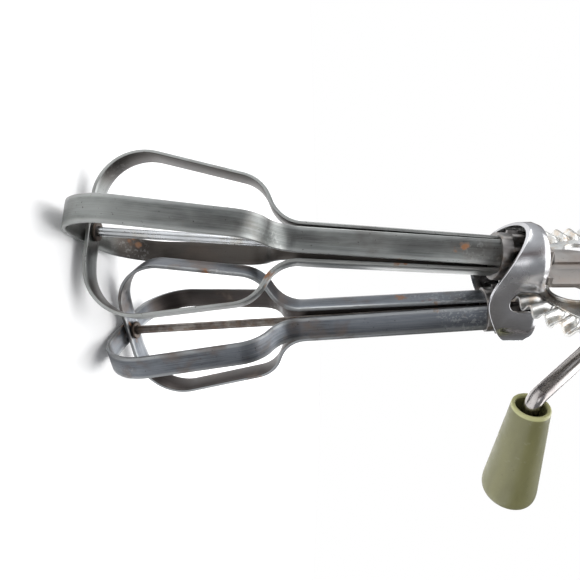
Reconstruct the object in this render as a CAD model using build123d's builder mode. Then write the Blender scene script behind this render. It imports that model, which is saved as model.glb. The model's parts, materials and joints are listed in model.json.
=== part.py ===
from build123d import *

import os
from math import cos, pi, radians, sin, tan

os.makedirs("parts", exist_ok=True)

# Rotary egg beater, upright as it is used: +Z from the blade tips to the handle.
# The origin is the middle of the hang hole in the handle. The wheel's axle lies along Y,
# beater A and the frame plate are on the wheel's +Y side, beater B and the crank on its -Y side.
# Heights are measured up from the lower ends of the blades. All sizes are in millimetres.

HANG_HOLE_HEIGHT = 272.0


def level(height):
    """The Z of a height above the blades' lower ends."""
    return height - HANG_HOLE_HEIGHT


# Beaters: each turns on a fixed centre rod. The rods spread apart and lean a little towards the tips.
ROD_TIP_Y = 17.6
ROD_TIP_X = 3.0
ROD_TOP_Y = 7.65
ROD_TOP_HEIGHT = 104.3
ROD_DIAMETER = 2.4
ROD_FOOT_RADIUS = 2.0
ROD_FOOT_THICKNESS = 1.0
ROD_HEAD_RADIUS = 1.8
ROD_HEAD_THICKNESS = 0.9
TIP_COLLAR_RADIUS = 2.6
TIP_COLLAR_LENGTH = 0.7
RUNNING_GAP = 0.05
END_GAP = 0.3

STRIP_WIDTH = 6.35
STRIP_THICKNESS = 0.9
BULGE_RADIUS = 23.6
BULGE_HEIGHT = 1.5
FOOT_HALF_WIDTH = 7.0
SHOULDER_RADIUS = 15.8
SHOULDER_HEIGHT = 44.2
NECK_RADIUS = 5.2
NECK_HEIGHT = 49.2
COLLAR_RADIUS = 4.37
STRIP_TOP_HEIGHT = 104.4
BEND_RADII = [8.6, 10.0, 12.9, 20.0, 20.0, 12.9, 10.0, 8.6]
INNER_LOOP_LIFT = 1.6
BLADE_ANGLE_A = 141.3
BLADE_ANGLE_B = 174.0

# Drive wheel, with a corrugated rim that meshes with a pinion on each face.
AXLE_HEIGHT = 136.4
WHEEL_RADIUS = 31.75
WHEEL_TEETH = 50
TOOTH_PHASE = 1.2
SHEET = 0.8
WAVE_HEIGHT = 1.7
# One wave across a tooth, as shares of half its width and of the wave height.
WAVE_FACE = [(-1.0, -1), (-0.87, -1), (-0.33, 1), (0.33, 1), (0.87, -1), (1.0, -1)]
WAVE_BACK = [(1.0, -1), (0.67, -1), (0.13, 1), (-0.13, 1), (-0.67, -1), (-1.0, -1)]
WAVE_START_RADIUS = 25.0
WAVE_FULL_RADIUS = 27.2
HOLE_COUNT = 8
HOLE_CIRCLE_RADIUS = 17.7
HOLE_DIAMETER = 8.8
HOLE_LIP = 0.6
HOLE_LIP_WIDTH = 0.7
HOLE_PHASE = 15.4
HUB_RADIUS = 5.0
HUB_FLANGE_RADIUS = 7.5
HUB_FLANGE_THICKNESS = 1.2
HUB_CHAMFER = 0.8
HUB_OUTER_Y = -8.0
HUB_INNER_Y = 3.4

# Pinions.
PINION_TEETH = 10
PINION_TIP_RADIUS = 6.5
PINION_ROOT_RADIUS = 4.75
PINION_TIP_HALF_WIDTH = 0.42
PINION_BASE_HALF_WIDTH = 0.85
PINION_BOTTOM_HEIGHT = 104.6
PINION_TOP_HEIGHT = 109.5
PINION_COLLAR_RADIUS = 5.9
PINION_COLLAR_BOTTOM_HEIGHT = 102.0
PINION_WASHER_RADIUS = 2.6
PINION_WASHER_THICKNESS = 0.5
GEAR_RATIO = WHEEL_TEETH / PINION_TEETH

# Gear shroud: a racetrack-shaped cap with a bevelled shoulder, open towards the tips.
SHROUD_TOP_HEIGHT = 111.6
SHROUD_HALF_X = 9.4
SHROUD_HALF_Y = 16.0
SHROUD_WALL = 0.8
SHOULDER_BEVEL = 0.7
SHOULDER_DROP = 1.6
LIP_MIDDLE_HEIGHT = 99.4
LIP_POINTS = [(16.5, 108.7), (10.0, 103.2), (5.0, 100.6), (0.0, LIP_MIDDLE_HEIGHT)]
WHEEL_SLOT_HALF_WIDTH = 2.7
WHEEL_SLOT_CORNER = 2.4
WHEEL_SLOT_END_HEIGHT = 104.2

# Frame plate: one stamped strap from the shroud, past the wheel, into the handle.
PLATE_INNER_Y = 4.1
PLATE_THICKNESS = 1.0
PLATE_OUTER_Y = PLATE_INNER_Y + PLATE_THICKNESS
PLATE_BEND_RADII = [1.3, 4.0, 4.0]
PLATE_HALF_WIDTH = 9.0
STRAP_HALF_WIDTH = 6.5
PLATE_NARROWING_START = 123.0
PLATE_NARROWING_END = 130.0
JOGGLE_START_HEIGHT = 171.0
JOGGLE_END_HEIGHT = 177.5
TANG_HALF_WIDTH = 4.0
TANG_TOP_HEIGHT = 214.0
FOOT_OUTER_Y = 12.0
FOOT_CUT_GAP = 1.5
FOOT_HALF_X = 6.5
GROOVE_HALF_WIDTH = 2.4
GROOVE_DEPTH = 0.5
GROOVE_WALL = 0.5
GROOVE_HEIGHTS = [(115.2, 128.2), (144.6, 166.0)]
RIVET_PLACES = [(-4.4, 9.4), (4.4, 9.4)]
RIVET_RADIUS = 1.0
RIVET_HEAD_RADIUS = 1.7
RIVET_HEAD_HEIGHT = 0.7
BUSH_RADIUS = 3.5
BUSH_FLANGE_RADIUS = 4.6
BUSH_FLANGE_THICKNESS = 0.5

# Crank and knob.
CRANK_ANGLE = 35.5
CRANK_RADIUS = 31.5
CRANK_ROD_DIAMETER = 4.0
ARM_START_Y = -12.0
ARM_END_Y = -22.5
CRANK_BEND_RADII = [4.5, 4.0]
KNOB_MOUTH_Y = -24.0
KNOB_LENGTH = 33.0
KNOB_MOUTH_RADIUS = 4.5
KNOB_END_RADIUS = 6.8
KNOB_TIP_RADIUS = 4.8
KNOB_DOME_LENGTH = 6.0
KNOB_RECESS_RADIUS = 3.6
KNOB_RECESS_DEPTH = 6.0
KNOB_MOUTH_CHAMFER = 0.25
KNOB_END_RECESS_DEPTH = 4.0
WIRE_END_RADIUS = 2.7
WIRE_END_THICKNESS = 1.0
WASHER_THICKNESS = 0.8
AXLE_WASHER_RADIUS = 4.4
KNOB_WASHER_RADIUS = 3.2

# How far a cut runs past the piece that it cuts.
CUTTER_OVERRUN = 5.0
CUTTER_MARGIN = 1.0

# Handle.
HANDLE_BOTTOM_HEIGHT = 180.0
HANDLE_TOP_HEIGHT = 281.0
FERRULE_BOTTOM_HEIGHT = 178.0
FERRULE_TOP_HEIGHT = 188.0
FERRULE_RADIUS = 8.8
FERRULE_WALL = 0.7
FERRULE_ROUNDING = 1.2
HANG_HOLE_DIAMETER = 6.0
HANDLE_PIN_HEIGHT = 202.0
HANDLE_PIN_DIAMETER = 3.0
HANDLE_PIN_REACH = 10.0
HANDLE_STEP = 0.4
GRIP_POINTS = [(11.6, 226.0), (10.4, 262.0), (7.4, 277.5)]

axle_z = level(AXLE_HEIGHT)
finished = []


def finish(name, builder):
    """Label a finished piece and write it to its own file."""
    builder.part.label = name
    export_step(builder.part, f"parts/{name}.step")
    finished.append(name)


def facing_y(y):
    """The plane at this Y, with X to its right and Z up."""
    return Plane.XZ.offset(-y)


def rod_plane(side):
    """The plane across a beater's lower end, with the centre rod along its normal."""
    tip = Vector(-side * ROD_TIP_X, side * ROD_TIP_Y, level(0))
    top = Vector(0, side * ROD_TOP_Y, level(ROD_TOP_HEIGHT))
    return Plane(origin=tip, x_dir=Vector(1, 0, 0), z_dir=top - tip)


def blade_plane(side, angle):
    """The plane through a beater's rod that holds the middle line of one blade loop."""
    across = rod_plane(side)
    outward = across.x_dir * cos(radians(angle)) + across.y_dir * sin(radians(angle))
    return Plane(origin=across.origin, x_dir=outward, z_dir=outward.cross(across.z_dir))


def make_blade_loop(side, angle, lift):
    """One flat strip bent into a U with shoulders and a straight neck, pierced for the rod."""
    half = [
        (COLLAR_RADIUS, STRIP_TOP_HEIGHT),
        (NECK_RADIUS, NECK_HEIGHT),
        (SHOULDER_RADIUS, SHOULDER_HEIGHT),
        (BULGE_RADIUS, BULGE_HEIGHT + lift),
        (FOOT_HALF_WIDTH, lift),
    ]
    outline = half + [(-x, y) for x, y in reversed(half)]
    with BuildPart() as loop:
        with BuildSketch(blade_plane(side, angle)):
            with BuildLine():
                FilletPolyline(*outline, radius=BEND_RADII)
                offset(amount=STRIP_THICKNESS, side=Side.RIGHT)
            make_face()
        extrude(amount=STRIP_WIDTH / 2, both=True)
        with BuildSketch(rod_plane(side)):
            Circle(ROD_DIAMETER / 2 + 2 * RUNNING_GAP)
        extrude(amount=FOOT_HALF_WIDTH, both=True, mode=Mode.SUBTRACT)
    return loop


def make_centre_rod(side, head_height):
    """A fixed wire with a peened lower end and a flat head on top of the shroud."""
    base = rod_plane(side)
    with BuildPart() as rod:
        with BuildSketch(base.offset(-END_GAP)):
            Circle(ROD_FOOT_RADIUS)
        extrude(amount=-ROD_FOOT_THICKNESS)
        with BuildSketch(base.offset(-END_GAP)):
            Circle(ROD_DIAMETER / 2)
        extrude(amount=head_height + 2 * ROD_HEAD_THICKNESS)
        split(bisect_by=Plane.XY.offset(level(head_height + ROD_HEAD_THICKNESS)), keep=Keep.BOTTOM)
        top = base.origin + base.z_dir * head_height
        with BuildSketch(Plane.XY.offset(level(head_height))):
            with Locations((top.X, top.Y)):
                Circle(ROD_HEAD_RADIUS)
        extrude(amount=ROD_HEAD_THICKNESS)
    return rod


def pinion_outline(tooth_angle):
    """The section of a pinion's toothed part, with its first tooth at this angle."""
    foot = PINION_ROOT_RADIUS - PINION_TIP_HALF_WIDTH
    with BuildSketch() as tooth:
        with BuildLine():
            Polyline(
                (foot, -PINION_BASE_HALF_WIDTH),
                (PINION_TIP_RADIUS, -PINION_TIP_HALF_WIDTH),
                (PINION_TIP_RADIUS, PINION_TIP_HALF_WIDTH),
                (foot, PINION_BASE_HALF_WIDTH),
                close=True,
            )
        make_face()
    with BuildSketch() as outline:
        Circle(PINION_ROOT_RADIUS)
        with PolarLocations(0, PINION_TEETH, start_angle=tooth_angle):
            add(tooth.sketch)
    return outline.sketch


def make_pinion(side, tooth_angle, loops):
    """A ten-toothed pinion, its collar pressed onto the four strip ends, free on the centre rod."""
    collar_base = rod_plane(side).offset(PINION_COLLAR_BOTTOM_HEIGHT)
    with BuildPart() as pinion:
        with BuildSketch(collar_base):
            Circle(PINION_COLLAR_RADIUS)
        extrude(amount=PINION_BOTTOM_HEIGHT - PINION_COLLAR_BOTTOM_HEIGHT)
        with BuildSketch(rod_plane(side).offset(PINION_BOTTOM_HEIGHT)):
            add(pinion_outline(tooth_angle))
        extrude(amount=PINION_TOP_HEIGHT - PINION_BOTTOM_HEIGHT)
        with BuildSketch(collar_base):
            Circle(ROD_DIAMETER / 2 + RUNNING_GAP)
        extrude(amount=PINION_TOP_HEIGHT, mode=Mode.SUBTRACT)
        for loop in loops:
            add(loop.part, mode=Mode.SUBTRACT)
    return pinion


def make_rod_ring(side, height, thickness, radius):
    """A ring fixed on a centre rod."""
    with BuildPart() as ring:
        with BuildSketch(rod_plane(side).offset(height)):
            Circle(radius)
            Circle(ROD_DIAMETER / 2, mode=Mode.SUBTRACT)
        extrude(amount=thickness)
    return ring


# Beaters A (+Y) and B (-Y).
foot_top_height = SHROUD_TOP_HEIGHT + PLATE_THICKNESS
mesh_turn = TOOTH_PHASE * GEAR_RATIO
beater_settings = {
    "a": (1, BLADE_ANGLE_A, foot_top_height, 270 - mesh_turn + 180 / PINION_TEETH),
    "b": (-1, BLADE_ANGLE_B, SHROUD_TOP_HEIGHT, 90 + mesh_turn),
}
centre_rods = []
for letter, (side, angle, head_height, tooth_angle) in beater_settings.items():
    outer_loop = make_blade_loop(side, angle, 0)
    inner_loop = make_blade_loop(side, angle + 90, INNER_LOOP_LIFT)
    centre_rod = make_centre_rod(side, head_height)
    centre_rods.append(centre_rod)
    finish(f"outer_blade_loop_{letter}", outer_loop)
    finish(f"inner_blade_loop_{letter}", inner_loop)
    finish(f"pinion_{letter}", make_pinion(side, tooth_angle, [outer_loop, inner_loop]))
    finish(f"centre_rod_{letter}", centre_rod)
    collar_height = INNER_LOOP_LIFT + STRIP_THICKNESS + END_GAP
    tip_collar = make_rod_ring(side, collar_height, TIP_COLLAR_LENGTH, TIP_COLLAR_RADIUS)
    finish(f"tip_collar_{letter}", tip_collar)
    washer_height = PINION_TOP_HEIGHT + END_GAP
    pinion_washer = make_rod_ring(
        side, washer_height, PINION_WASHER_THICKNESS, PINION_WASHER_RADIUS
    )
    finish(f"pinion_washer_{letter}", pinion_washer)


# Frame plate: its bent side profile, cut to its front outline.
plate_top = level(SHROUD_TOP_HEIGHT)
with BuildPart() as frame_plate:
    with BuildSketch(Plane.YZ):
        with BuildLine():
            FilletPolyline(
                (FOOT_OUTER_Y, plate_top),
                (PLATE_INNER_Y, plate_top),
                (PLATE_INNER_Y, level(JOGGLE_START_HEIGHT)),
                (-PLATE_THICKNESS / 2, level(JOGGLE_END_HEIGHT)),
                (-PLATE_THICKNESS / 2, level(TANG_TOP_HEIGHT)),
                radius=PLATE_BEND_RADII,
            )
            offset(amount=PLATE_THICKNESS, side=Side.RIGHT)
        make_face()
    extrude(amount=PLATE_HALF_WIDTH, both=True)
    with BuildSketch(facing_y(FOOT_OUTER_Y + CUTTER_OVERRUN)):
        with BuildLine():
            Polyline(
                (-PLATE_HALF_WIDTH, plate_top),
                (-PLATE_HALF_WIDTH, level(PLATE_NARROWING_START)),
                (-STRAP_HALF_WIDTH, level(PLATE_NARROWING_END)),
                (-STRAP_HALF_WIDTH, level(JOGGLE_START_HEIGHT)),
                (-TANG_HALF_WIDTH, level(JOGGLE_END_HEIGHT)),
                (-TANG_HALF_WIDTH, level(TANG_TOP_HEIGHT)),
                (TANG_HALF_WIDTH, level(TANG_TOP_HEIGHT)),
                (TANG_HALF_WIDTH, level(JOGGLE_END_HEIGHT)),
                (STRAP_HALF_WIDTH, level(JOGGLE_START_HEIGHT)),
                (STRAP_HALF_WIDTH, level(PLATE_NARROWING_END)),
                (PLATE_HALF_WIDTH, level(PLATE_NARROWING_START)),
                (PLATE_HALF_WIDTH, plate_top),
                close=True,
            )
        make_face()
    extrude(amount=FOOT_OUTER_Y + 3 * CUTTER_OVERRUN, mode=Mode.INTERSECT)
    # The foot is narrower than the plate, so that it stays on the shroud's flat top.
    with BuildSketch(Plane.XY.offset(plate_top)):
        foot_cut_y = PLATE_OUTER_Y + FOOT_CUT_GAP
        with Locations((0, foot_cut_y + FOOT_OUTER_Y / 2)):
            Rectangle(2 * (PLATE_HALF_WIDTH + CUTTER_MARGIN), FOOT_OUTER_Y)
            Rectangle(2 * FOOT_HALF_X, FOOT_OUTER_Y, mode=Mode.SUBTRACT)
    extrude(amount=PLATE_THICKNESS + 0.2, mode=Mode.SUBTRACT)
    # Pressed grooves below and above the axle, each with its rib on the wheel's side.
    for low, high in GROOVE_HEIGHTS:
        middle = level((low + high) / 2)
        with BuildSketch(facing_y(PLATE_INNER_Y)):
            with Locations((0, middle)):
                SlotOverall(high - low, 2 * GROOVE_HALF_WIDTH, rotation=90)
        extrude(amount=GROOVE_DEPTH)
        with BuildSketch(facing_y(PLATE_OUTER_Y)):
            with Locations((0, middle)):
                slot_length = high - low - 2 * GROOVE_WALL
                slot_width = 2 * (GROOVE_HALF_WIDTH - GROOVE_WALL)
                SlotOverall(slot_length, slot_width, rotation=90)
        extrude(amount=GROOVE_DEPTH, mode=Mode.SUBTRACT)
    # Hole for the axle's bush.
    with BuildSketch(facing_y(PLATE_OUTER_Y + CUTTER_MARGIN)):
        with Locations((0, axle_z)):
            Circle(BUSH_RADIUS)
    extrude(amount=PLATE_THICKNESS + 2, mode=Mode.SUBTRACT)
    # Rivet holes in the foot, and the hole for the centre rod.
    with BuildSketch(Plane.XY.offset(plate_top - 1)):
        with Locations(*RIVET_PLACES):
            Circle(RIVET_RADIUS)
    extrude(amount=PLATE_THICKNESS + 2, mode=Mode.SUBTRACT)
    add(centre_rods[0].part, mode=Mode.SUBTRACT)
    # Hole for the handle's cross pin.
    with BuildSketch(facing_y(5)):
        with Locations((0, level(HANDLE_PIN_HEIGHT))):
            Circle(HANDLE_PIN_DIAMETER / 2)
    extrude(amount=10, mode=Mode.SUBTRACT)
finish("frame_plate", frame_plate)

with BuildPart() as frame_rivets:
    with BuildSketch(Plane.XY.offset(plate_top - SHROUD_WALL)):
        with Locations(*RIVET_PLACES):
            Circle(RIVET_RADIUS)
    extrude(amount=SHROUD_WALL + PLATE_THICKNESS)
    with BuildSketch(Plane.XY.offset(plate_top + PLATE_THICKNESS)):
        with Locations(*RIVET_PLACES):
            Circle(RIVET_HEAD_RADIUS)
    extrude(amount=RIVET_HEAD_HEIGHT)
finish("frame_rivets", frame_rivets)


# Gear shroud.
with BuildPart() as gear_shroud:
    with BuildSketch(Plane.XY.offset(level(LIP_MIDDLE_HEIGHT - CUTTER_MARGIN))):
        SlotOverall(2 * SHROUD_HALF_Y, 2 * SHROUD_HALF_X, rotation=90)
    extrude(amount=SHROUD_TOP_HEIGHT - LIP_MIDDLE_HEIGHT + CUTTER_MARGIN)
    top_edges = gear_shroud.faces().sort_by(Axis.Z)[-1].edges()
    chamfer(top_edges, length=SHOULDER_DROP, length2=SHOULDER_BEVEL)
    bottom_face = gear_shroud.faces().sort_by(Axis.Z)[0]
    offset(amount=-SHROUD_WALL, openings=bottom_face)
    # The lip dips in the middle, under the wheel, and rises towards both ends.
    with BuildSketch(Plane.YZ):
        with BuildLine():
            points = [(y, level(height)) for y, height in LIP_POINTS]
            points += [(-y, z) for y, z in points[-2::-1]]
            curve = Spline(*points)
            below = level(LIP_MIDDLE_HEIGHT - CUTTER_OVERRUN)
            Polyline(curve @ 1, (points[-1][0], below), (points[0][0], below), curve @ 0)
        make_face()
    extrude(amount=SHROUD_HALF_X + CUTTER_MARGIN, both=True, mode=Mode.SUBTRACT)
    # Slot for the wheel's rim, through both long walls and the top.
    with BuildSketch(Plane.YZ):
        slot_length = SHROUD_TOP_HEIGHT + CUTTER_OVERRUN - WHEEL_SLOT_END_HEIGHT
        with Locations((0, level(WHEEL_SLOT_END_HEIGHT) + slot_length / 2)):
            RectangleRounded(2 * WHEEL_SLOT_HALF_WIDTH, slot_length, WHEEL_SLOT_CORNER)
    extrude(amount=SHROUD_HALF_X + CUTTER_MARGIN, both=True, mode=Mode.SUBTRACT)
    for rod in centre_rods:
        add(rod.part, mode=Mode.SUBTRACT)
    add(frame_rivets.part, mode=Mode.SUBTRACT)
finish("gear_shroud", gear_shroud)


# Axle bush, fixed in the frame plate, with its flange outside.
axle_hole_radius = CRANK_ROD_DIAMETER / 2 + RUNNING_GAP
bush_outer_y = PLATE_OUTER_Y + BUSH_FLANGE_THICKNESS
with BuildPart() as axle_bush:
    with BuildSketch(facing_y(bush_outer_y)):
        with Locations((0, axle_z)):
            Circle(BUSH_RADIUS)
    extrude(amount=bush_outer_y - PLATE_INNER_Y)
    with BuildSketch(facing_y(bush_outer_y)):
        with Locations((0, axle_z)):
            Circle(BUSH_FLANGE_RADIUS)
    extrude(amount=BUSH_FLANGE_THICKNESS)
    with BuildSketch(facing_y(bush_outer_y)):
        with Locations((0, axle_z)):
            Circle(axle_hole_radius)
    extrude(amount=bush_outer_y - PLATE_INNER_Y, mode=Mode.SUBTRACT)
finish("axle_bush", axle_bush)


# Drive wheel: a flat web with lipped holes, and a rim made of one wave for each tooth.
def wave_section(radius, height):
    """The sheet's section across one tooth at this radius, with its crest on the +Y side."""
    half = radius * tan(pi / WHEEL_TEETH)
    outline = [(u * half, -(height * v + SHEET / 2)) for u, v in WAVE_FACE]
    outline += [(u * half, -(height * v - SHEET / 2)) for u, v in WAVE_BACK]
    with BuildSketch(Plane(origin=(0, 0, -radius), x_dir=(1, 0, 0), z_dir=(0, 0, -1))) as section:
        with BuildLine():
            Polyline(*outline, close=True)
        make_face()
    return section.sketch.faces()[0]


with BuildPart() as rim_tooth:
    start = wave_section(WAVE_START_RADIUS, 0)
    full = wave_section(WAVE_FULL_RADIUS, WAVE_HEIGHT)
    edge = wave_section(WHEEL_RADIUS, WAVE_HEIGHT)
    loft([start, full], ruled=True)
    loft([full, edge], ruled=True)

tooth_angles = [TOOTH_PHASE + 360 * i / WHEEL_TEETH for i in range(WHEEL_TEETH)]
tooth_places = [Location((0, 0, axle_z), (0, angle, 0)) for angle in tooth_angles]
with BuildPart() as drive_wheel:
    with BuildSketch(facing_y(SHEET / 2)):
        with Locations((0, axle_z)):
            RegularPolygon(
                WAVE_START_RADIUS,
                WHEEL_TEETH,
                major_radius=False,
                rotation=270 - TOOTH_PHASE - 180 / WHEEL_TEETH,
            )
    extrude(amount=SHEET)
    with Locations(*tooth_places):
        add(rim_tooth.part)
    with BuildSketch(facing_y(SHEET / 2 + HOLE_LIP)):
        with Locations((0, axle_z)):
            with PolarLocations(HOLE_CIRCLE_RADIUS, HOLE_COUNT, start_angle=270 - HOLE_PHASE):
                Circle(HOLE_DIAMETER / 2 + HOLE_LIP_WIDTH)
    extrude(amount=HOLE_LIP)
    with BuildSketch(facing_y(SHEET / 2 + HOLE_LIP)):
        with Locations((0, axle_z)):
            with PolarLocations(HOLE_CIRCLE_RADIUS, HOLE_COUNT, start_angle=270 - HOLE_PHASE):
                Circle(HOLE_DIAMETER / 2)
            Circle(HUB_RADIUS)
    extrude(amount=SHEET + HOLE_LIP, mode=Mode.SUBTRACT)
finish("drive_wheel", drive_wheel)

# Hub: a bush riveted into the web, with a flange on the crank's side.
with BuildPart() as wheel_hub:
    with BuildSketch(facing_y(HUB_INNER_Y)):
        with Locations((0, axle_z)):
            Circle(HUB_RADIUS)
    extrude(amount=HUB_INNER_Y - HUB_OUTER_Y)
    with BuildSketch(facing_y(-SHEET / 2)):
        with Locations((0, axle_z)):
            Circle(HUB_FLANGE_RADIUS)
    extrude(amount=HUB_FLANGE_THICKNESS)
    with BuildSketch(facing_y(HUB_INNER_Y)):
        with Locations((0, axle_z)):
            Circle(CRANK_ROD_DIAMETER / 2)
    extrude(amount=HUB_INNER_Y - HUB_OUTER_Y, mode=Mode.SUBTRACT)
    outer_rim = wheel_hub.faces().sort_by(Axis.Y)[0].outer_wire().edges()
    chamfer(outer_rim, length=HUB_CHAMFER)
finish("wheel_hub", wheel_hub)


# Crank rod: the axle, the sloping arm and the knob's spindle, bent from one wire.
arm_direction = Vector(-sin(radians(CRANK_ANGLE)), 0, -cos(radians(CRANK_ANGLE)))
crank_plane = Plane(
    origin=(0, 0, axle_z), x_dir=arm_direction, z_dir=arm_direction.cross(Vector(0, -1, 0))
)
wire_end_y = PLATE_OUTER_Y + BUSH_FLANGE_THICKNESS + END_GAP + WASHER_THICKNESS
recess_floor_y = KNOB_MOUTH_Y - KNOB_LENGTH + KNOB_END_RECESS_DEPTH
knob_washer_y = recess_floor_y - END_GAP
spindle_end_y = knob_washer_y - WASHER_THICKNESS
spindle_x = CRANK_RADIUS * arm_direction.X
spindle_z = axle_z + CRANK_RADIUS * arm_direction.Z
with BuildPart() as crank_rod:
    with BuildLine(crank_plane) as crank_path:
        FilletPolyline(
            (0, -wire_end_y),
            (0, -ARM_START_Y),
            (CRANK_RADIUS, -ARM_END_Y),
            (CRANK_RADIUS, -spindle_end_y),
            radius=CRANK_BEND_RADII,
        )
    with BuildSketch(facing_y(wire_end_y)):
        with Locations((0, axle_z)):
            Circle(CRANK_ROD_DIAMETER / 2)
    sweep(path=crank_path.line)
    # Peened end outside the frame plate.
    with BuildSketch(facing_y(wire_end_y + WIRE_END_THICKNESS)):
        with Locations((0, axle_z)):
            Circle(WIRE_END_RADIUS)
    extrude(amount=WIRE_END_THICKNESS)
    # Peened end inside the knob's outer recess.
    with BuildSketch(facing_y(spindle_end_y)):
        with Locations((spindle_x, spindle_z)):
            Circle(WIRE_END_RADIUS)
    extrude(amount=WIRE_END_THICKNESS)
finish("crank_rod", crank_rod)


def make_washer(x, z, y, radius):
    """A washer on the wire, square to Y, from this Y towards -Y."""
    with BuildPart() as washer:
        with BuildSketch(facing_y(y)):
            with Locations((x, z)):
                Circle(radius)
                Circle(CRANK_ROD_DIAMETER / 2, mode=Mode.SUBTRACT)
        extrude(amount=WASHER_THICKNESS)
    return washer


finish("axle_washer", make_washer(0, axle_z, wire_end_y, AXLE_WASHER_RADIUS))
finish("knob_washer", make_washer(spindle_x, spindle_z, knob_washer_y, KNOB_WASHER_RADIUS))


# Knob: tapered, with an open recess round the bent rod and a recess for the spindle's end.
knob_plane = Plane(
    origin=(spindle_x, KNOB_MOUTH_Y, spindle_z), x_dir=(1, 0, 0), z_dir=(0, 0, -1)
)
taper_length = KNOB_LENGTH - KNOB_DOME_LENGTH
with BuildPart() as knob:
    with BuildSketch(knob_plane):
        with BuildLine():
            Polyline(
                (0, 0),
                (KNOB_MOUTH_RADIUS, 0),
                (KNOB_END_RADIUS, taper_length),
            )
            Spline(
                (KNOB_END_RADIUS, taper_length),
                (KNOB_TIP_RADIUS, KNOB_LENGTH),
                tangents=[(KNOB_END_RADIUS - KNOB_MOUTH_RADIUS, taper_length), (-1, 0)],
            )
            Polyline((KNOB_TIP_RADIUS, KNOB_LENGTH), (0, KNOB_LENGTH), (0, 0))
        make_face()
    knob_axis = Axis(knob_plane.origin, (0, 1, 0))
    revolve(axis=knob_axis)
    with BuildSketch(facing_y(KNOB_MOUTH_Y)):
        with Locations((spindle_x, spindle_z)):
            Circle(KNOB_RECESS_RADIUS)
    extrude(amount=KNOB_RECESS_DEPTH, mode=Mode.SUBTRACT)
    with BuildSketch(facing_y(KNOB_MOUTH_Y)):
        with Locations((spindle_x, spindle_z)):
            Circle(axle_hole_radius)
    extrude(amount=KNOB_LENGTH, mode=Mode.SUBTRACT)
    with BuildSketch(facing_y(recess_floor_y)):
        with Locations((spindle_x, spindle_z)):
            Circle(KNOB_RECESS_RADIUS)
    extrude(amount=KNOB_LENGTH, mode=Mode.SUBTRACT)
    mouth_edges = knob.faces().sort_by(Axis.Y)[-1].edges()
    chamfer(mouth_edges, length=KNOB_MOUTH_CHAMFER)
finish("knob", knob)


# Handle pin, ferrule and handle.
with BuildPart() as handle_pin:
    with BuildSketch(facing_y(HANDLE_PIN_REACH)):
        with Locations((0, level(HANDLE_PIN_HEIGHT))):
            Circle(HANDLE_PIN_DIAMETER / 2)
    extrude(amount=2 * HANDLE_PIN_REACH)
finish("handle_pin", handle_pin)

neck_radius = FERRULE_RADIUS - FERRULE_WALL
with BuildPart() as ferrule:
    with BuildSketch(Plane.XY.offset(level(FERRULE_BOTTOM_HEIGHT))):
        Circle(FERRULE_RADIUS)
    extrude(amount=FERRULE_TOP_HEIGHT - FERRULE_BOTTOM_HEIGHT)
    fillet(ferrule.faces().sort_by(Axis.Z)[0].edges(), radius=FERRULE_ROUNDING)
    with BuildSketch(Plane.XY.offset(level(HANDLE_BOTTOM_HEIGHT))):
        Circle(neck_radius)
    extrude(amount=FERRULE_TOP_HEIGHT - HANDLE_BOTTOM_HEIGHT, mode=Mode.SUBTRACT)
    add(frame_plate.part, mode=Mode.SUBTRACT)
finish("ferrule", ferrule)

with BuildPart() as handle:
    with BuildSketch(Plane.XZ):
        with BuildLine():
            Polyline(
                (0, level(HANDLE_TOP_HEIGHT)),
                (0, level(HANDLE_BOTTOM_HEIGHT)),
                (neck_radius, level(HANDLE_BOTTOM_HEIGHT)),
                (neck_radius, level(FERRULE_TOP_HEIGHT)),
                (FERRULE_RADIUS + HANDLE_STEP, level(FERRULE_TOP_HEIGHT)),
            )
            Spline(
                (FERRULE_RADIUS + HANDLE_STEP, level(FERRULE_TOP_HEIGHT)),
                *[(radius, level(height)) for radius, height in GRIP_POINTS],
                (0, level(HANDLE_TOP_HEIGHT)),
                tangents=[(0.08, 1), (-1, 0)],
            )
        make_face()
    revolve(axis=Axis.Z)
    with BuildSketch(facing_y(20)):
        Circle(HANG_HOLE_DIAMETER / 2)
    extrude(amount=40, mode=Mode.SUBTRACT)
    add(frame_plate.part, mode=Mode.SUBTRACT)
    add(handle_pin.part, mode=Mode.SUBTRACT)
finish("handle", handle)

print(len(finished), "pieces written")
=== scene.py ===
import json
from math import cos, radians, sin

import bpy
from mathutils import Matrix, Vector


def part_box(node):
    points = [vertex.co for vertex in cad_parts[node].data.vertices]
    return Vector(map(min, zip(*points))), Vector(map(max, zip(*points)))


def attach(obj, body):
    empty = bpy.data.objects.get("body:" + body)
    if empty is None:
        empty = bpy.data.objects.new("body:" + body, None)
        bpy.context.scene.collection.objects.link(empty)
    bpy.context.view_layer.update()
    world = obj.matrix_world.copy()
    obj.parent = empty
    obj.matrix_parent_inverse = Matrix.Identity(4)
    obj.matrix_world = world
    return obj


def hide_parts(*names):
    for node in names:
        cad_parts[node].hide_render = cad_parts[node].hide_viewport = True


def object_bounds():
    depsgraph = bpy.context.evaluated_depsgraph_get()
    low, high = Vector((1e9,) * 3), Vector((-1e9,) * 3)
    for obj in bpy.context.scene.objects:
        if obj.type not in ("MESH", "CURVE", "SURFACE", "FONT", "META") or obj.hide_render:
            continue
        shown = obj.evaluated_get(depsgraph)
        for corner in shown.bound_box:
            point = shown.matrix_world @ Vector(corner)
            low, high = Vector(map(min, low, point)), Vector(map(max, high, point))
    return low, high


# Rotary egg beater. Every size is in metres, in the CAD frame: +Z from the blade tips to the
# handle, the wheel's axle along Y, beater A on the +Y side and beater B on the -Y side.
MM = 0.001

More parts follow.
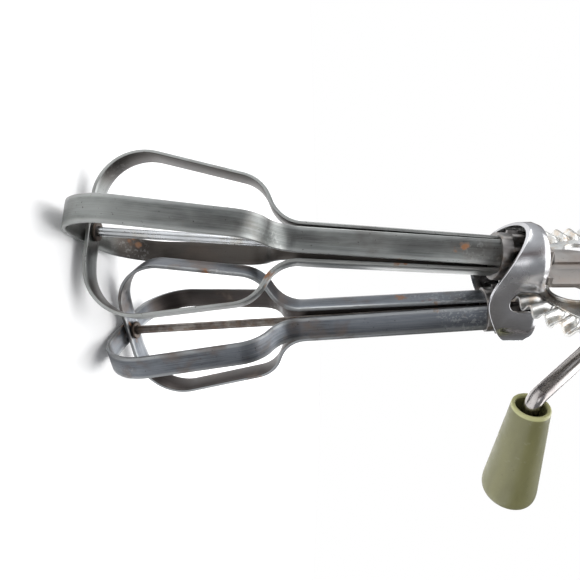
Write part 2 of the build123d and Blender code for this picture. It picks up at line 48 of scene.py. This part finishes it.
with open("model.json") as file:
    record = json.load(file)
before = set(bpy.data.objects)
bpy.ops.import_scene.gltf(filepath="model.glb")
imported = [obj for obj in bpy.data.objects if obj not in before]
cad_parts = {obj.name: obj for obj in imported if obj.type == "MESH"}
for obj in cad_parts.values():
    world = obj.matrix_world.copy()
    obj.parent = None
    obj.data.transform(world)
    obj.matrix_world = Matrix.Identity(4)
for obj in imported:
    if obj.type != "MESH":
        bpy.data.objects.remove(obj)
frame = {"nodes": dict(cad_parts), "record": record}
nodes = frame["nodes"]
joints = {joint["name"]: joint for joint in frame["record"]["behaviour"]["joints"]}
cad_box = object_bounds()

BLADE_ANGLES = {"a": 141.3, "b": 174.0}
STRIP_HALF_WIDTH = 3.175 * MM
STRIP_TONES = {
    "a": ((0.10, 0.105, 0.10), (0.20, 0.21, 0.20)),
    "b": ((0.05, 0.055, 0.065), (0.11, 0.12, 0.138)),
}
DRAWN_LINE = (0.34, 0.36, 0.37)
BURNISHED_EDGE = (0.52, 0.53, 0.52)
# Painted shade: the near-black brown laid on strip faces that look inwards to the rod.
PAINTED_SHADE_INNER_FACE = (0.042, 0.033, 0.028)
TARNISH = (0.085, 0.062, 0.05)
WHITE_SCALE = (0.58, 0.59, 0.58)
STRIP_PIT = (0.04, 0.032, 0.028)
SHEET_PIT = (0.05, 0.042, 0.035)
RUST = (0.22, 0.105, 0.05)
OLIVE_TONES = ((0.12, 0.117, 0.048), (0.145, 0.141, 0.06))
SCUFFED_OLIVE = (0.20, 0.195, 0.115)
RIM_OLIVE = (0.42, 0.42, 0.20)
OLIVE_DIRT = (0.05, 0.048, 0.025)
WELD_DISTANCE = 0.002 * MM
SHARP_ANGLE = radians(28)

CAMERA_PLACE = Vector((-0.10593, 0.06111, -0.20896))
CAMERA_RIGHT = Vector((0.0848, -0.0529, 0.9950))
CAMERA_UP = Vector((0.5104, 0.8599, 0.0022))
CAMERA_LENS = 28.62
CAMERA_SENSOR = 36
CAMERA_CLIP = 3 * MM
FLOOR_SIZE = 2.4


# Shader helpers.
class Nodes:
    """A material's node tree, with one short call for each kind of node."""

    def __init__(self, name):
        self.material = bpy.data.materials.new(name)
        self.material.use_nodes = True
        self.tree = self.material.node_tree
        self.shader = self.tree.nodes["Principled BSDF"]
        coordinates = self.tree.nodes.new("ShaderNodeTexCoord")
        self.place = coordinates.outputs["Object"]
        self.normal = coordinates.outputs["Normal"]

    def put(self, value, socket):
        """Link an output to a socket, or set the socket's own value."""
        if isinstance(value, bpy.types.NodeSocket):
            self.tree.links.new(value, socket)
        else:
            socket.default_value = value

    def vector(self, operation, first, second):
        node = self.tree.nodes.new("ShaderNodeVectorMath")
        node.operation = operation
        self.put(first, node.inputs[0])
        self.put(second, node.inputs[1])
        return node.outputs["Value" if operation == "DOT_PRODUCT" else "Vector"]

    def math(self, operation, first, second=0.0):
        node = self.tree.nodes.new("ShaderNodeMath")
        node.operation = operation
        self.put(first, node.inputs[0])
        self.put(second, node.inputs[1])
        return node.outputs[0]

    def noise(self, scale, detail=4.0, place=None, roughness=0.6):
        node = self.tree.nodes.new("ShaderNodeTexNoise")
        self.put(place or self.place, node.inputs["Vector"])
        node.inputs["Scale"].default_value = scale
        node.inputs["Detail"].default_value = detail
        node.inputs["Roughness"].default_value = roughness
        return node.outputs["Fac"]

    def step(self, value, low, high, out_low=0.0, out_high=1.0):
        """Turn a value from low to high into out_low to out_high, smoothly and clamped."""
        node = self.tree.nodes.new("ShaderNodeMapRange")
        node.interpolation_type = "SMOOTHSTEP"
        for name, number in zip(
            ("Value", "From Min", "From Max", "To Min", "To Max"),
            (value, low, high, out_low, out_high),
        ):
            self.put(number, node.inputs[name])
        return node.outputs["Result"]

    def blend(self, amount, first, second):
        """Mix two colours."""
        node = self.tree.nodes.new("ShaderNodeMix")
        node.data_type = "RGBA"
        self.put(amount, node.inputs["Factor"])
        for value, socket in ((first, node.inputs["A"]), (second, node.inputs["B"])):
            self.put((*value, 1.0) if isinstance(value, tuple) else value, socket)
        return node.outputs["Result"]

    def bump(self, height, distance, strength=1.0):
        node = self.tree.nodes.new("ShaderNodeBump")
        node.inputs["Distance"].default_value = distance
        node.inputs["Strength"].default_value = strength
        self.put(height, node.inputs["Height"])
        self.put(node.outputs["Normal"], self.shader.inputs["Normal"])

    def finish(self, colour, roughness, metallic=1.0, **values):
        self.put(colour, self.shader.inputs["Base Color"])
        self.put(roughness, self.shader.inputs["Roughness"])
        self.put(metallic, self.shader.inputs["Metallic"])
        for name, value in values.items():
            self.shader.inputs[name.replace("_", " ")].default_value = value
        return self.material


def rod_axis(letter):
    """A beater's lower end and the direction of its rod."""
    joint = joints[f"beater_{letter}_spin"]
    return Vector(joint["pos_m"]), Vector(joint["axis"]).normalized()


def loop_normal(letter, turn):
    """The direction across the strip of a blade loop, square to the loop's own plane."""
    axis = rod_axis(letter)[1]
    across = Vector((1, 0, 0))
    across = (across - across.dot(axis) * axis).normalized()
    beside = axis.cross(across)
    angle = radians(BLADE_ANGLES[letter] + turn)
    return (across * cos(angle) + beside * sin(angle)).cross(axis)


def strip_steel(name, letter, turn, tarnish, dark, light):
    """Worn rolled strip: drawn lines, burnished edges, painted shade on the inner faces, scaling and
    rust spots.
    """
    tip, axis = rod_axis(letter)
    normal = loop_normal(letter, turn)
    n = Nodes(name)
    across = n.math("SUBTRACT", n.vector("DOT_PRODUCT", n.place, tuple(normal)), normal.dot(tip))
    along = n.vector("MULTIPLY", n.place, (120.0, 120.0, 40.0))
    line_node = n.tree.nodes.new("ShaderNodeCombineXYZ")
    n.put(n.math("MULTIPLY", across, 5200.0), line_node.inputs[0])
    height_node = n.tree.nodes.new("ShaderNodeSeparateXYZ")
    n.put(n.place, height_node.inputs[0])
    n.put(n.math("MULTIPLY", height_node.outputs["Z"], 55.0), line_node.inputs[1])
    lines = n.noise(1.0, 3.0, line_node.outputs[0])
    cloud = n.noise(1.1, 5.0, along)
    grain = n.noise(2600.0, 3.0)
    edge = n.step(n.math("ABSOLUTE", across), 0.62 * STRIP_HALF_WIDTH, 0.86 * STRIP_HALF_WIDTH)
    colour = n.blend(n.step(cloud, 0.35, 0.65), dark, light)
    colour = n.blend(n.step(lines, 0.3, 0.75, 0.0, 0.28), colour, DRAWN_LINE)
    colour = n.blend(n.math("MULTIPLY", edge, 0.3), colour, BURNISHED_EDGE)
    # Painted shade: faces that look inwards, towards the rod inside the beater's cage, are darkened
    # to a near-black brown.
    from_tip = n.vector("SUBTRACT", n.place, tuple(tip))
    along_rod = n.vector("PROJECT", from_tip, tuple(axis))
    radial = n.vector("SUBTRACT", from_tip, along_rod)
    outward = n.vector("DOT_PRODUCT", n.normal, n.vector("NORMALIZE", radial, (0.0, 0.0, 0.0)))
    inner_face_painted_shade = n.step(outward, -0.6, -0.1, 0.85, 0.0)
    colour = n.blend(inner_face_painted_shade, colour, PAINTED_SHADE_INNER_FACE)
    stain = n.math("MULTIPLY", n.step(n.noise(62.0, 4.0), 0.52, 0.66), tarnish)
    colour = n.blend(stain, colour, TARNISH)
    scale_patch = n.step(n.noise(48.0, 3.0), 0.56, 0.66)
    scaling = n.math("MULTIPLY", scale_patch, n.step(n.noise(1250.0, 4.0), 0.52, 0.6))
    colour = n.blend(n.math("MULTIPLY", scaling, 0.2), colour, WHITE_SCALE)
    speck = n.step(n.noise(1500.0, 2.0), 0.68, 0.73)
    colour = n.blend(n.math("MULTIPLY", speck, 0.7), colour, STRIP_PIT)
    rust = n.math(
        "MULTIPLY", n.step(n.noise(95.0, 5.0), 0.64, 0.7), n.step(n.noise(420.0, 4.0), 0.38, 0.6)
    )
    colour = n.blend(rust, colour, RUST)
    roughness = n.math("ADD", n.step(cloud, 0.3, 0.7, 0.34, 0.46), n.math("MULTIPLY", rust, 0.35))
    n.bump(n.math("ADD", lines, n.math("MULTIPLY", grain, 0.6)), 0.02 * MM, 0.6)
    metallic = n.step(n.math("MAXIMUM", rust, stain), 0.1, 0.9, 1.0, 0.35)
    return n.finish(colour, roughness, metallic)


def sheet_steel(name, dark, light, roughness, mottle_scale, mottle_colour=None, bump=0.012):
    """Polished or plated sheet and wire: soft mottling, fine scratches and dull finger marks."""
    n = Nodes(name)
    mottle = n.noise(mottle_scale, 5.0)
    colour = n.blend(n.step(mottle, 0.35, 0.65), dark, light)
    if mottle_colour:
        patch = n.step(n.noise(mottle_scale * 2.3, 4.0), 0.5, 0.62, 0.0, 0.6)
        colour = n.blend(patch, colour, mottle_colour)
    speck = n.step(n.noise(1700.0, 2.0), 0.69, 0.74, 0.0, 0.65)
    colour = n.blend(speck, colour, SHEET_PIT)
    scratches = n.noise(1.0, 2.0, n.vector("MULTIPLY", n.place, (3200.0, 260.0, 900.0)))
    smear = n.step(n.noise(70.0, 3.0), 0.35, 0.7, roughness, roughness + 0.14)
    n.bump(n.math("ADD", scratches, n.noise(900.0, 3.0)), bump * MM, 0.5)
    return n.finish(colour, smear)


def olive_plastic(name, flow_scale):
    """Moulded plastic: faint flow marks, orange peel, dust in the pores and scuffed spots."""
    n = Nodes(name)
    flow = n.noise(1.0, 4.0, n.vector("MULTIPLY", n.place, flow_scale))
    colour = n.blend(n.step(flow, 0.3, 0.7), *OLIVE_TONES)
    scuff = n.step(n.noise(520.0, 5.0), 0.61, 0.72, 0.0, 0.5)
    colour = n.blend(scuff, colour, SCUFFED_OLIVE)
    depth = n.tree.nodes.new("ShaderNodeSeparateXYZ")
    n.put(n.place, depth.inputs[0])
    mouth_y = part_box("knob")[1][1]
    rim = n.step(depth.outputs["Y"], mouth_y - 1.1 * MM, mouth_y - 0.7 * MM, 0.0, 0.8)
    beyond = n.step(depth.outputs["Y"], mouth_y + 0.3 * MM, mouth_y + 0.6 * MM, 1.0, 0.0)
    colour = n.blend(n.math("MULTIPLY", rim, beyond), colour, RIM_OLIVE)
    dirt = n.step(n.noise(1400.0, 3.0), 0.66, 0.74, 0.0, 0.6)
    colour = n.blend(dirt, colour, OLIVE_DIRT)
    roughness = n.step(n.noise(140.0, 4.0), 0.3, 0.7, 0.32, 0.5)
    peel = n.math("ADD", n.noise(800.0, 2.0), n.math("MULTIPLY", scuff, 0.4))
    n.bump(peel, 0.03 * MM, 0.6)
    return n.finish(colour, roughness, 0.0, Specular_IOR_Level=0.5)


POLISHED = sheet_steel("polished_sheet", (0.36, 0.36, 0.37), (0.50, 0.50, 0.515), 0.16, 60.0)
CRANK_WIRE = sheet_steel(
    "polished_wire", (0.26, 0.24, 0.235), (0.42, 0.40, 0.39), 0.16, 60.0, None, 0.002
)
TINNED = sheet_steel(
    "tinned_sheet", (0.36, 0.36, 0.35), (0.68, 0.68, 0.66), 0.24, 130.0, (0.46, 0.37, 0.28), 0.02
)
PLATE = sheet_steel(
    "stamped_plate", (0.30, 0.275, 0.255), (0.43, 0.405, 0.38), 0.3, 45.0, (0.30, 0.25, 0.22)
)
PLAIN = sheet_steel(
    "turned_steel", (0.11, 0.105, 0.10), (0.22, 0.21, 0.205), 0.36, 200.0, (0.12, 0.09, 0.07)
)
ROD_BRIGHT = sheet_steel(
    "bright_rod", (0.36, 0.37, 0.38), (0.52, 0.54, 0.56), 0.24, 90.0, (0.40, 0.38, 0.33), 0.002
)
ROD_BROWNED = sheet_steel(
    "browned_rod", (0.10, 0.085, 0.075), (0.25, 0.23, 0.21), 0.4, 170.0, (0.13, 0.09, 0.065)
)
BROWN_COLLAR = sheet_steel(
    "brown_collar", (0.035, 0.028, 0.024), (0.09, 0.072, 0.06), 0.45, 260.0, (0.08, 0.055, 0.04)
)
HANDLE_OLIVE = olive_plastic("olive_handle_moulding", (260.0, 260.0, 60.0))
KNOB_OLIVE = olive_plastic("olive_knob_moulding", (260.0, 60.0, 260.0))


def dress(name, material, bevel=0.0, segments=2):
    """Give a CAD node its material, soft edges and smooth shading."""
    piece = nodes[name]
    piece.data.materials.clear()
    piece.data.materials.append(material)
    piece.data.polygons.foreach_set("use_smooth", [True] * len(piece.data.polygons))
    weld = piece.modifiers.new("weld", "WELD")
    weld.merge_threshold = WELD_DISTANCE
    if bevel:
        rounding = piece.modifiers.new("rounded_edges", "BEVEL")
        rounding.width = bevel
        rounding.segments = segments
        rounding.limit_method = "ANGLE"
        rounding.angle_limit = SHARP_ANGLE
        rounding.harden_normals = True
        rounding.use_clamp_overlap = True
    else:
        split = piece.modifiers.new("sharp_edges", "EDGE_SPLIT")
        split.split_angle = SHARP_ANGLE


for letter in "ab":
    browned = 0.8 if letter == "b" else 0.25
    outer = strip_steel(f"outer_strip_{letter}", letter, 0, browned, *STRIP_TONES[letter])
    inner = strip_steel(f"inner_strip_{letter}", letter, 90, browned, *STRIP_TONES[letter])
    dress(f"outer_blade_loop_{letter}", outer, 0.22 * MM, 3)
    dress(f"inner_blade_loop_{letter}", inner, 0.22 * MM, 3)
    dress(f"pinion_{letter}", PLAIN, 0.12 * MM)
    dress(f"centre_rod_{letter}", ROD_BROWNED if letter == "b" else ROD_BRIGHT)
    dress(f"tip_collar_{letter}", BROWN_COLLAR, 0.25 * MM, 3)
    dress(f"pinion_washer_{letter}", PLAIN, 0.08 * MM)

dress("frame_plate", PLATE, 0.12 * MM)
dress("gear_shroud", POLISHED, 0.16 * MM, 3)
dress("frame_rivets", PLAIN, 0.3 * MM, 3)
dress("axle_bush", PLAIN, 0.12 * MM)
dress("axle_washer", PLAIN, 0.12 * MM)
dress("knob_washer", PLAIN, 0.12 * MM)
dress("wheel_hub", PLAIN, 0.15 * MM)
dress("crank_rod", CRANK_WIRE)
dress("handle_pin", PLAIN, 0.25 * MM)
dress("ferrule", POLISHED, 0.15 * MM)
dress("handle", HANDLE_OLIVE, 0.3 * MM, 3)
dress("knob", KNOB_OLIVE, 0.1 * MM)


# Drive wheel: a flat web with lipped holes, and a rim of smooth waves in thin rolled sheet.
TEETH = 50
TOOTH_PHASE = 1.2
POINTS_PER_TOOTH = 14
RIM_RADII = [24.4, 25.0, 25.5, 26.0, 26.5, 27.2, 28.2, 29.2, 30.2, 31.0, 31.35, 31.6]
FLAT_RADIUS = 25.0
FULL_WAVE_RADIUS = 27.2
WAVE_HEIGHT = 1.05
CREST_SHARE = 0.08
SLOPE_SHARE = 0.84
RIM_ROUNDING = 0.12
RIM_ROUNDING_ANGLE = radians(50)
WEB_ROUNDING = 0.1
RIM_SHEET = 0.5
WEB_SHEET = 0.8
WEB_RADIUS = 25.0
HUB_HOLE_RADIUS = 5.0
HOLE_COUNT = 8
HOLE_CIRCLE_RADIUS = 17.7
HOLE_RADIUS = 4.4
HOLE_PHASE = 15.4
LIP_RADIUS = 0.33
CIRCLE_POINTS = 72
HOLE_ANGLES = [HOLE_PHASE + 360 * i / HOLE_COUNT for i in range(HOLE_COUNT)]

wheel_low, wheel_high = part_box("drive_wheel")
axle_z = (wheel_low[2] + wheel_high[2]) / 2


def smooth(t):
    """0 to 1 as t goes from 0 to 1, level at both ends."""
    t = max(0.0, min(1.0, t))
    return t * t * (3 - 2 * t)


def on_wheel(radius, degrees, y):
    """A point on the wheel, at an angle from straight down towards -X, from millimetres."""
    angle = radians(degrees)
    return (-radius * sin(angle) * MM, y * MM, axle_z - radius * cos(angle) * MM)


def wave(radius, degrees):
    """How far the rim's sheet stands out towards +Y, in millimetres."""
    turn = (degrees - TOOTH_PHASE) * TEETH / 360
    offset = abs(turn - round(turn)) * 2
    rise = smooth((radius - FLAT_RADIUS) / (FULL_WAVE_RADIUS - FLAT_RADIUS))
    return WAVE_HEIGHT * rise * (1 - 2 * smooth((offset - CREST_SHARE) / SLOPE_SHARE))


def add_piece(name, data, material, body):
    """Link a new wheel piece, with its material and slot, and let it ride on a CAD body."""
    piece = bpy.data.objects.new(name, data)
    bpy.context.scene.collection.objects.link(piece)
    data.materials.append(material)
    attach(piece, body)
    return piece


def wheel_rim():
    steps = TEETH * POINTS_PER_TOOTH
    points = []
    for radius in RIM_RADII:
        for i in range(steps):
            degrees = 360 * i / steps
            points.append(on_wheel(radius, degrees, wave(radius, degrees)))
    faces = []
    for ring in range(len(RIM_RADII) - 1):
        for i in range(steps):
            here, after = ring * steps + i, ring * steps + (i + 1) % steps
            faces.append((here, after, after + steps, here + steps))
    mesh = bpy.data.meshes.new("wheel_rim")
    mesh.from_pydata(points, [], faces)
    mesh.polygons.foreach_set("use_smooth", [True] * len(mesh.polygons))
    rim = add_piece("wheel_rim", mesh, TINNED, "crank_wheel")
    sheet = rim.modifiers.new("sheet", "SOLIDIFY")
    sheet.thickness = RIM_SHEET * MM
    sheet.offset = 0
    edge = rim.modifiers.new("rounded_edge", "BEVEL")
    edge.width = RIM_ROUNDING * MM
    edge.segments = 2
    edge.angle_limit = RIM_ROUNDING_ANGLE
    return rim


def add_circle(curve, centre_radius, centre_degrees, radius, y):
    """Add a closed circle, facing along Y, to a curve."""
    centre = Vector(on_wheel(centre_radius, centre_degrees, y))
    spline = curve.splines.new("POLY")
    spline.points.add(CIRCLE_POINTS - 1)
    spline.use_cyclic_u = True
    for i, point in enumerate(spline.points):
        angle = radians(360 * i / CIRCLE_POINTS)
        spot = centre + Vector((radius * cos(angle), 0, radius * sin(angle))) * MM
        point.co = (*spot, 1)


def wheel_web():
    """The flat web, as a filled outline with its holes."""
    curve = bpy.data.curves.new("wheel_web", "CURVE")
    curve.dimensions = "2D"
    curve.fill_mode = "BOTH"
    curve.bevel_depth = WEB_ROUNDING * MM
    curve.extrude = (WEB_SHEET / 2) * MM - curve.bevel_depth
    circles = [(0, 0, WEB_RADIUS), (0, 0, HUB_HOLE_RADIUS)]
    circles += [(HOLE_CIRCLE_RADIUS, degrees, HOLE_RADIUS) for degrees in HOLE_ANGLES]
    for centre_radius, degrees, radius in circles:
        add_circle(curve, centre_radius, degrees, radius, 0)
    for spline in curve.splines:
        for point in spline.points:
            point.co = (point.co.x, point.co.z - axle_z, 0, 1)
    web = bpy.data.objects.new("wheel_web", curve)
    bpy.context.scene.collection.objects.link(web)
    web.rotation_euler = (radians(90), 0, 0)
    web.location = (0, 0, axle_z)
    curve.materials.append(TINNED)
    bpy.context.view_layer.update()
    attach(web, "crank_wheel")


def wheel_hole_lips():
    """The raised edge of each hole, on the web's +Y face."""
    lips = bpy.data.curves.new("wheel_hole_lips", "CURVE")
    lips.dimensions = "3D"
    lips.bevel_depth = LIP_RADIUS * MM
    for degrees in HOLE_ANGLES:
        lip_radius = HOLE_RADIUS + LIP_RADIUS
        add_circle(lips, HOLE_CIRCLE_RADIUS, degrees, lip_radius, WEB_SHEET / 2 + LIP_RADIUS / 2)
    add_piece("wheel_hole_lips", lips, TINNED, "crank_wheel")


rim = wheel_rim()
wheel_web()
wheel_hole_lips()
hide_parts("drive_wheel")


# Camera.
camera = bpy.data.objects.new("camera", bpy.data.cameras.new("camera"))
bpy.context.scene.collection.objects.link(camera)
camera.data.lens = CAMERA_LENS
camera.data.sensor_width = CAMERA_SENSOR
camera.data.clip_start = CAMERA_CLIP
back = CAMERA_RIGHT.cross(CAMERA_UP)
facing = Matrix((CAMERA_RIGHT, CAMERA_UP, back)).transposed().to_4x4()
camera.matrix_world = Matrix.Translation(CAMERA_PLACE) @ facing
bpy.context.scene.camera = camera

# Floor.
low, high = cad_box
bpy.ops.mesh.primitive_plane_add(size=FLOOR_SIZE, location=(0, 0, low[2]))
floor = bpy.context.object
floor.name = "floor"
floor_nodes = Nodes("pale_floor")
floor_tone = floor_nodes.blend(floor_nodes.noise(3.0), (0.93, 0.93, 0.93), (0.95, 0.95, 0.95))
floor.data.materials.append(floor_nodes.finish(floor_tone, 0.6, 0.0))


# Light: a bright even surround and soft boxes round the object.
def soft_box(name, place, target, width, height, power):
    data = bpy.data.lights.new(name, "AREA")
    data.shape = "RECTANGLE"
    data.size = width
    data.size_y = height
    data.energy = power
    box = bpy.data.objects.new(name, data)
    bpy.context.scene.collection.objects.link(box)
    box.location = place
    aim = Vector(target) - Vector(place)
    box.rotation_euler = aim.to_track_quat("-Z", "Y").to_euler()


middle = (0.0, 0.0, low[2] + 0.11)
soft_box("key", (0.25, 0.75, -0.12), middle, 0.5, 0.35, 2.4)
soft_box("front", (-0.75, 0.35, 0.05), middle, 0.3, 0.3, 0.5)
soft_box("rim", (0.5, -0.4, 0.1), middle, 0.4, 0.5, 2.0)
soft_box("floor_light", (0.0, 0.0, 2.2), (0.0, 0.0, 0.0), 3.0, 3.0, 100.0)

# Surround: white where the camera looks past the object, and elsewhere bright from the sky side,
# darker away from it, so that polished metal has something to reflect. Each tone is a place from the
# side facing away (0) to the sky side (1), and its colour.
SKY_SIDE = (0.51, 0.86, 0.0)
AWAY_TONE = (0.20, 0.19, 0.18, 1.0)
SKY_TONE = (1.0, 1.03, 1.06, 1.0)
TONES_BETWEEN = (
    (0.34, (0.36, 0.37, 0.39, 1.0)),
    (0.52, (0.50, 0.53, 0.56, 1.0)),
    (0.60, (0.16, 0.115, 0.11, 1.0)),
    (0.66, (0.15, 0.105, 0.10, 1.0)),
    (0.76, (0.62, 0.63, 0.65, 1.0)),
)


def surround():
    world = bpy.data.worlds.new("surround")
    bpy.context.scene.world = world
    world.use_nodes = True
    tree = world.node_tree
    background = tree.nodes["Background"]
    coordinates = tree.nodes.new("ShaderNodeTexCoord")
    towards_sky = tree.nodes.new("ShaderNodeVectorMath")
    towards_sky.operation = "DOT_PRODUCT"
    towards_sky.inputs[1].default_value = SKY_SIDE
    ramp = tree.nodes.new("ShaderNodeValToRGB")
    first, last = ramp.color_ramp.elements
    first.position, first.color = 0.0, AWAY_TONE
    last.position, last.color = 1.0, SKY_TONE
    for position, colour in TONES_BETWEEN:
        ramp.color_ramp.elements.new(position).color = colour
    to_unit = tree.nodes.new("ShaderNodeMapRange")
    to_unit.inputs["From Min"].default_value = -1.0
    path = tree.nodes.new("ShaderNodeLightPath")
    seen = tree.nodes.new("ShaderNodeMix")
    seen.data_type = "RGBA"
    seen.inputs["B"].default_value = (1.0, 1.0, 1.0, 1.0)
    for source, target in (
        (coordinates.outputs["Generated"], towards_sky.inputs[0]),
        (towards_sky.outputs["Value"], to_unit.inputs["Value"]),
        (to_unit.outputs["Result"], ramp.inputs["Fac"]),
        (ramp.outputs["Color"], seen.inputs["A"]),
        (path.outputs["Is Camera Ray"], seen.inputs["Factor"]),
        (seen.outputs["Result"], background.inputs["Color"]),
    ):
        tree.links.new(source, target)


surround()
bpy.context.scene.view_settings.view_transform = "Standard"
